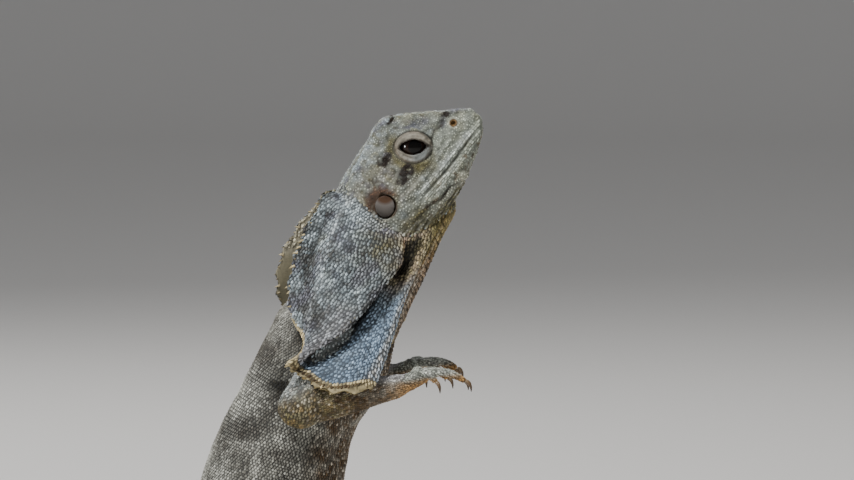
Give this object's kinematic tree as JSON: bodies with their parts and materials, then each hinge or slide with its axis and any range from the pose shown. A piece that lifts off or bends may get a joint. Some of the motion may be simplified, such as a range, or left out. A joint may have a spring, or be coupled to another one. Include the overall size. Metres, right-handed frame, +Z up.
{
  "type": "frilled lizard",
  "caption": "Life-size still figure of a frilled lizard, reared on its hind feet and tail, forelimbs held forward and frill folded back over the shoulders.",
  "frame": {"origin": "middle of the bounding box, on the floor that the hind feet and tail stand on", "axes": "+X ahead of the animal, +Y to its left, +Z up"},
  "size_m": [0.511, 0.1136, 0.2305],
  "materials": {
    "skin": "matt scaly skin, grey-green to grey with pale net markings",
    "frill_skin": "matt folded skin with keeled scales, blue-grey with a pale serrated edge",
    "eye": "wet gloss, near black",
    "ear": "smooth dull eardrum skin",
    "claw": "smooth horn, dark at the tip"
  },
  "bodies": {
    "root": {"abdomen": "skin", "chest": "skin", "claw_foot_left_1": "claw", "claw_foot_left_2": "claw", "claw_foot_left_3": "claw", "claw_foot_left_4": "claw", "claw_foot_left_5": "claw", "claw_foot_right_1": "claw", "claw_foot_right_2": "claw", "claw_foot_right_3": "claw", "claw_foot_right_4": "claw", "claw_foot_right_5": "claw", "claw_hand_left_1": "claw", "claw_hand_left_2": "claw", "claw_hand_left_3": "claw", "claw_hand_left_4": "claw", "claw_hand_left_5": "claw", "claw_hand_right_1": "claw", "claw_hand_right_2": "claw", "claw_hand_right_3": "claw", "claw_hand_right_4": "claw", "claw_hand_right_5": "claw", "ear_left": "ear", "ear_right": "ear", "eye_left": "eye", "eye_right": "eye", "foot_left": "skin", "foot_right": "skin", "forearm_left": "skin", "forearm_right": "skin", "frill_left": "frill_skin", "frill_right": "frill_skin", "hand_left": "skin", "hand_right": "skin", "head": "skin", "lower_jaw": "skin", "neck": "skin", "pelvis": "skin", "shank_left": "skin", "shank_right": "skin", "tail_1": "skin", "tail_2": "skin", "tail_3": "skin", "tail_4": "skin", "tail_5": "skin", "thigh_left": "skin", "thigh_right": "skin", "upper_arm_left": "skin", "upper_arm_right": "skin"}
  },
  "joints": []
}
